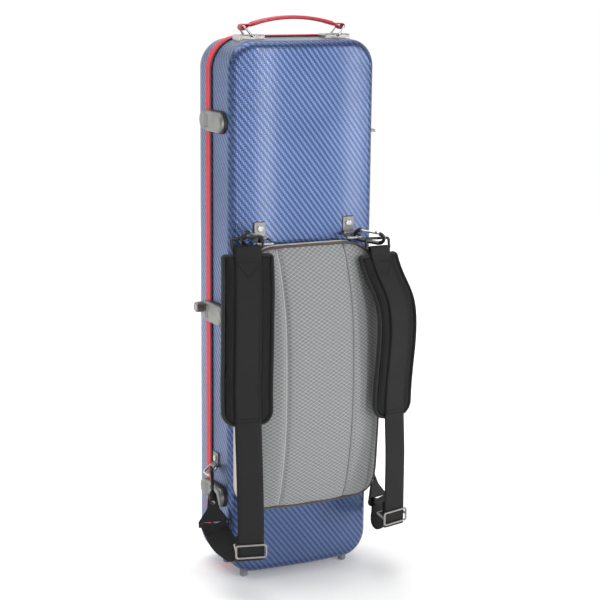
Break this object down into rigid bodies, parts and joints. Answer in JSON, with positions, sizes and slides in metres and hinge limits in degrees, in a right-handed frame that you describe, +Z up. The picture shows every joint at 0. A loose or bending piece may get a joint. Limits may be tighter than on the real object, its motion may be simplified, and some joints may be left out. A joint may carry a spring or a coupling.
{
  "type": "violin case",
  "caption": "Oblong hard violin case with padded interior, side latches and a key lock, a top handle, a back cushion and padded shoulder straps.",
  "frame": {"origin": "on the standing surface, under the joint between the base and the lid, midway between the two sides", "axes": "+Z up along the case's length to the handle; +X towards the hinges; -X towards the latches; -Y towards the back that carries the cushion and straps; +Y towards the lid"},
  "size_m": [0.3134, 0.2216, 0.8191],
  "materials": {
    "shell_blue": "woven carbon look under clear gloss",
    "rim_red": "gloss",
    "black_rubber": "matt",
    "plush_grey": "short plush",
    "satin_steel": "satin",
    "bright_steel": "polished",
    "black_hardware": "black enamel",
    "handle_leather": "smooth",
    "webbing_black": "woven",
    "pad_black": "ribbed mesh",
    "cushion_mesh": "spacer mesh",
    "board_plastic": "matt",
    "spinner_plastic": "matt"
  },
  "bodies": {
    "root": {"base_shell": "shell_blue", "base_rim": "rim_red", "base_lining": "plush_grey", "base_rim_strip": "black_rubber", "latch_gaskets": "black_rubber", "latch_covers": "satin_steel", "latch_pins": "bright_steel", "hinge_base_leaves": "satin_steel", "hinge_pins": "bright_steel", "base_end_feet": "black_rubber", "handle_brackets": "satin_steel", "side_strap_eye": "satin_steel", "strap_anchors": "satin_steel", "anchor_rivets": "bright_steel", "anchor_rings": "bright_steel", "cushion_board": "board_plastic", "cushion_pad": "cushion_mesh", "neck_cradle": "plush_grey", "neck_tie": "webbing_black"},
    "lid": {"lid_shell": "shell_blue", "lid_rim": "rim_red", "lid_seal": "black_rubber", "lid_lining": "plush_grey", "lid_keepers": "satin_steel", "hinge_lid_leaves": "satin_steel", "lid_end_feet": "black_rubber", "bow_spinner_posts": "spinner_plastic", "bow_tip_loops": "plush_grey"},
    "lock": {"lock_cylinder": "bright_steel"},
    "accessory_lid": {"accessory_box_lid": "plush_grey", "accessory_box_tab": "webbing_black"},
    "handle": {"handle_strap": "handle_leather"},
    "lever_lower": {"latch_lever_lower": "satin_steel"},
    "lever_middle": {"latch_lever_middle": "satin_steel", "lock_housing": "satin_steel"},
    "lever_upper": {"latch_lever_upper": "satin_steel"},
    "ring_left": {"handle_ring_left": "bright_steel"},
    "ring_right": {"handle_ring_right": "bright_steel"},
    "strap_left": {"shoulder_pad_left": "pad_black", "webbing_left": "webbing_black", "lower_webbing_left": "webbing_black", "strap_ring_left": "black_hardware", "slider_left": "satin_steel", "upper_hook_left": "black_hardware", "lower_hook_left": "black_hardware", "triangle_left": "black_hardware"},
    "gate_upper_left": {"upper_gate_left": "bright_steel"},
    "gate_lower_left": {"lower_gate_left": "bright_steel"},
    "strap_right": {"shoulder_pad_right": "pad_black", "webbing_right": "webbing_black", "lower_webbing_right": "webbing_black", "strap_ring_right": "black_hardware", "slider_right": "satin_steel", "upper_hook_right": "black_hardware", "lower_hook_right": "black_hardware", "triangle_right": "black_hardware"},
    "gate_upper_right": {"upper_gate_right": "bright_steel"},
    "gate_lower_right": {"lower_gate_right": "bright_steel"},
    "spinner_left": {"bow_spinner_left": "spinner_plastic"},
    "spinner_right": {"bow_spinner_right": "spinner_plastic"}
  },
  "joints": [
    {"name": "lid_hinge", "type": "hinge", "parent": "root", "child": "lid", "pos_m": [0.1216, 0, 0.3945], "axis": [0, 0, -1], "range_deg": [0, 105]},
    {"name": "latch_lower", "type": "hinge", "parent": "root", "child": "lever_lower", "pos_m": [-0.1208, -0.007, 0.127], "axis": [0, 0, 1], "range_deg": [0, 100]},
    {"name": "latch_middle", "type": "hinge", "parent": "root", "child": "lever_middle", "pos_m": [-0.1208, -0.007, 0.3975], "axis": [0, 0, 1], "range_deg": [0, 100]},
    {"name": "latch_upper", "type": "hinge", "parent": "root", "child": "lever_upper", "pos_m": [-0.1208, -0.007, 0.673], "axis": [0, 0, 1], "range_deg": [0, 100]},
    {"name": "lock_turn", "type": "hinge", "parent": "lever_middle", "child": "lock", "pos_m": [-0.1229, 0.0105, 0.4015], "axis": [-1, 0, 0], "range_deg": [0, 90]},
    {"name": "handle_ring_left_swing", "type": "hinge", "parent": "root", "child": "ring_left", "pos_m": [-0.067, -0.027, 0.79067], "axis": [0, 1, 0], "range_deg": [-15, 15]},
    {"name": "handle_ring_right_swing", "type": "hinge", "parent": "root", "child": "ring_right", "pos_m": [0.067, -0.027, 0.79067], "axis": [0, 1, 0], "range_deg": [-15, 15]},
    {"name": "handle_strap_swing", "type": "hinge", "parent": "ring_left", "child": "handle", "pos_m": [-0.0775, -0.027, 0.80327], "axis": [0, 1, 0], "range_deg": [-13.5, 13.5]},
    {"name": "strap_left_swing", "type": "hinge", "parent": "root", "child": "strap_left", "pos_m": [-0.081, -0.08817, 0.5091], "axis": [-0.1317, 0.1537, -0.9793], "range_deg": [0, 15]},
    {"name": "upper_gate_left_press", "type": "hinge", "parent": "strap_left", "child": "gate_upper_left", "pos_m": [-0.07789, -0.0896, 0.5174], "axis": [0.4069, -0.8626, -0.3005], "range_deg": [0, 9], "stiffness_Nm_per_rad": 0.02},
    {"name": "lower_gate_left_press", "type": "hinge", "parent": "strap_left", "child": "gate_lower_left", "pos_m": [-0.12526, -0.02557, 0.15763], "axis": [-0.9537, 0.3, -0.0232], "range_deg": [0, 12], "stiffness_Nm_per_rad": 0.02},
    {"name": "strap_right_swing", "type": "hinge", "parent": "root", "child": "strap_right", "pos_m": [0.081, -0.08817, 0.5091], "axis": [-0.1317, -0.1537, 0.9793], "range_deg": [0, 15]},
    {"name": "upper_gate_right_press", "type": "hinge", "parent": "strap_right", "child": "gate_upper_right", "pos_m": [0.08077, -0.09305, 0.51663], "axis": [0.5304, 0.704, 0.4722], "range_deg": [0, 9], "stiffness_Nm_per_rad": 0.02},
    {"name": "lower_gate_right_press", "type": "hinge", "parent": "strap_right", "child": "gate_lower_right", "pos_m": [0.12526, -0.02557, 0.15763], "axis": [-0.9537, -0.3, 0.0232], "range_deg": [0, 12], "stiffness_Nm_per_rad": 0.02},
    {"name": "bow_spinner_left_turn", "type": "hinge", "parent": "lid", "child": "spinner_left", "pos_m": [-0.042, 0.04, 0.15], "axis": [0, 1, 0], "range_deg": [0, 90]},
    {"name": "bow_spinner_right_turn", "type": "hinge", "parent": "lid", "child": "spinner_right", "pos_m": [0.042, 0.04, 0.15], "axis": [0, 1, 0], "range_deg": [0, 90]},
    {"name": "accessory_lid_hinge", "type": "hinge", "parent": "root", "child": "accessory_lid", "pos_m": [0, -0.00235, 0.6514], "axis": [-1, 0, 0], "range_deg": [0, 90]}
  ],
  "couplings": [
    {"joint": "handle_ring_right_swing", "follows": "handle_ring_left_swing", "ratio": 1},
    {"joint": "handle_strap_swing", "follows": "handle_ring_left_swing", "ratio": -0.8645}
  ]
}
